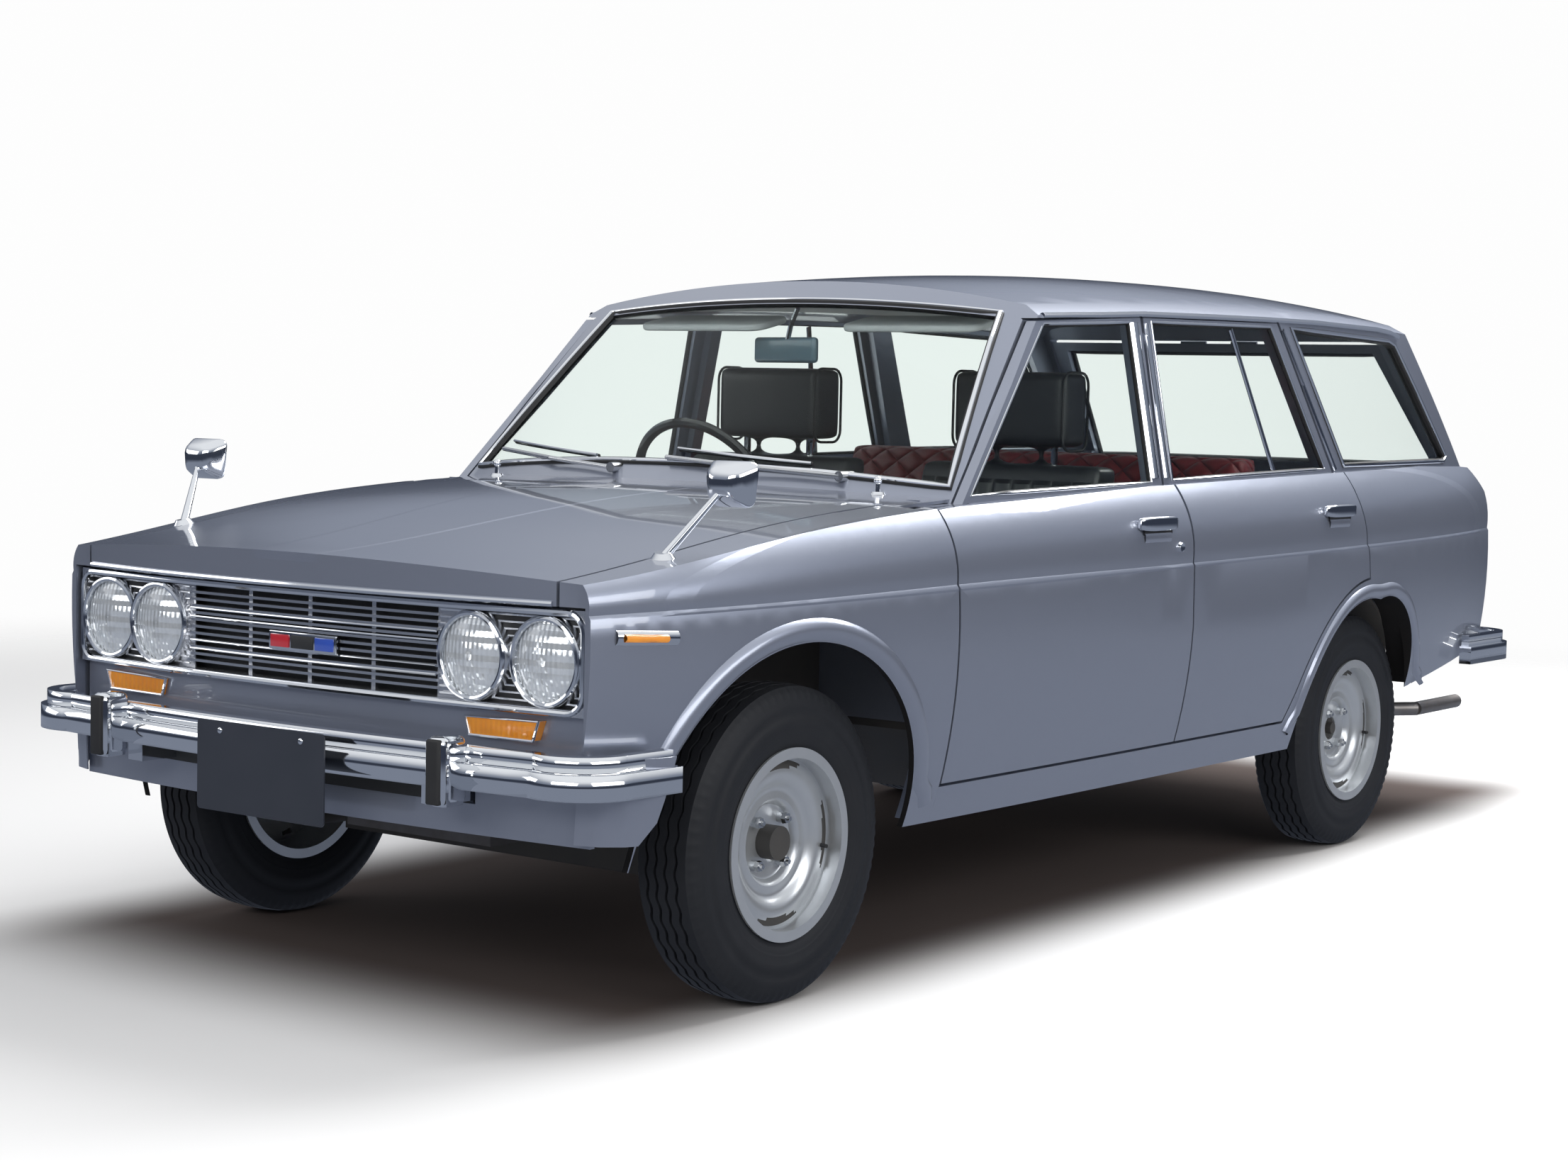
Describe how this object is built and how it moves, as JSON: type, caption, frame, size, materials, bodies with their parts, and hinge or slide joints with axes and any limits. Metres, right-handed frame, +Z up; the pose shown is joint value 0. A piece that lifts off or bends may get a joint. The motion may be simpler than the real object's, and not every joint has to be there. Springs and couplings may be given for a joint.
{
  "type": "station wagon",
  "caption": "Compact four-door station wagon with opening doors, hood and tailgate, rolling wheels and front wheels that steer with the steering wheel.",
  "frame": {"origin": "centre of the bounding box's base, on the ground between the tyres", "axes": "+X to the car's left, +Y to its rear, +Z up"},
  "size_m": [1.56, 4.12, 1.4337],
  "materials": {
    "paint": "gloss metallic",
    "glass": "clear",
    "underbody": "matt",
    "chrome": "polished",
    "lamp_glass": "fluted",
    "amber_lens": "gloss",
    "red_lens": "gloss",
    "black_vinyl": "satin",
    "red_vinyl": "satin",
    "dash_plastic": "matt",
    "wheel_plastic": "gloss",
    "cast_iron": "rough",
    "black_steel": "satin",
    "exhaust_steel": "dull",
    "wiper_steel": "satin",
    "tyre": "matt",
    "rim_paint": "satin silver"
  },
  "bodies": {
    "body": {"side_frame_left": "paint", "side_frame_right": "paint", "fender_left": "paint", "fender_right": "paint", "roof_panel": "paint", "cowl_panel": "paint", "rear_panel": "paint", "front_panel": "paint", "windshield": "glass", "quarter_glass": "glass", "floor_pan": "underbody", "grille": "chrome", "headlamps": "lamp_glass", "turn_signals": "amber_lens", "tail_lamps": "red_lens", "bumper_front": "chrome", "bumper_rear": "chrome", "seat_front_left": "black_vinyl", "seat_front_right": "black_vinyl", "seat_rear": "red_vinyl", "dashboard": "dash_plastic", "engine_block": "cast_iron", "crossmember": "black_steel", "rear_axle": "black_steel", "exhaust": "exhaust_steel", "fuel_tank": "black_steel", "fender_mirrors": "chrome", "wipers": "wiper_steel"},
    "hood": {"hood": "paint"},
    "tailgate": {"tailgate": "paint", "tailgate_glass": "glass"},
    "steering_wheel": {"steering_wheel": "wheel_plastic"},
    "door_front_left": {"door_front_left": "paint", "glass_front_left": "glass"},
    "wheel_front_left": {"tyre_front_left": "tyre", "rim_front_left": "rim_paint"},
    "door_front_right": {"door_front_right": "paint", "glass_front_right": "glass"},
    "wheel_front_right": {"tyre_front_right": "tyre", "rim_front_right": "rim_paint"},
    "door_rear_left": {"door_rear_left": "paint", "glass_rear_left": "glass"},
    "wheel_rear_left": {"tyre_rear_left": "tyre", "rim_rear_left": "rim_paint"},
    "door_rear_right": {"door_rear_right": "paint", "glass_rear_right": "glass"},
    "wheel_rear_right": {"tyre_rear_right": "tyre", "rim_rear_right": "rim_paint"},
    "knuckle_left": {"knuckle_left": "black_steel"},
    "knuckle_right": {"knuckle_right": "black_steel"}
  },
  "joints": [
    {"name": "steer_left", "type": "hinge", "parent": "body", "child": "knuckle_left", "pos_m": [0.578, -1.405, 0.2], "axis": [-0.129, 0, 0.9916], "range_deg": [-32, 32]},
    {"name": "spin_front_left", "type": "hinge", "parent": "knuckle_left", "child": "wheel_front_left", "pos_m": [0.64, -1.405, 0.297], "axis": [1, 0, 0], "continuous": true},
    {"name": "spin_rear_left", "type": "hinge", "parent": "body", "child": "wheel_rear_left", "pos_m": [0.635, 1.015, 0.297], "axis": [1, 0, 0], "continuous": true},
    {"name": "door_front_left_hinge", "type": "hinge", "parent": "body", "child": "door_front_left", "pos_m": [0.782, -0.9635, 0.6], "axis": [0, 0, -1], "range_deg": [0, 65]},
    {"name": "door_rear_left_hinge", "type": "hinge", "parent": "body", "child": "door_rear_left", "pos_m": [0.782, -0.009, 0.6], "axis": [0, 0, -1], "range_deg": [0, 65]},
    {"name": "steer_right", "type": "hinge", "parent": "body", "child": "knuckle_right", "pos_m": [-0.578, -1.405, 0.2], "axis": [0.129, 0, 0.9916], "range_deg": [-32, 32]},
    {"name": "spin_front_right", "type": "hinge", "parent": "knuckle_right", "child": "wheel_front_right", "pos_m": [-0.64, -1.405, 0.297], "axis": [1, 0, 0], "continuous": true},
    {"name": "spin_rear_right", "type": "hinge", "parent": "body", "child": "wheel_rear_right", "pos_m": [-0.635, 1.015, 0.297], "axis": [1, 0, 0], "continuous": true},
    {"name": "door_front_right_hinge", "type": "hinge", "parent": "body", "child": "door_front_right", "pos_m": [-0.782, -0.9635, 0.6], "axis": [0, 0, 1], "range_deg": [0, 65]},
    {"name": "door_rear_right_hinge", "type": "hinge", "parent": "body", "child": "door_rear_right", "pos_m": [-0.782, -0.009, 0.6], "axis": [0, 0, 1], "range_deg": [0, 65]},
    {"name": "steering_turn", "type": "hinge", "parent": "body", "child": "steering_wheel", "pos_m": [-0.34, -0.3523, 0.88], "axis": [0, 0.8944, 0.4472], "range_deg": [-480, 480]},
    {"name": "hood_hinge", "type": "hinge", "parent": "body", "child": "hood", "pos_m": [0, -2.006, 0.756], "axis": [1, 0, 0], "range_deg": [0, 55]},
    {"name": "tailgate_hinge", "type": "hinge", "parent": "body", "child": "tailgate", "pos_m": [0, 1.567, 1.2955], "axis": [1, 0, 0], "range_deg": [0, 80]}
  ],
  "couplings": [
    {"joint": "steer_left", "follows": "steering_turn", "ratio": 0.0666},
    {"joint": "steer_right", "follows": "steering_turn", "ratio": 0.0666}
  ]
}
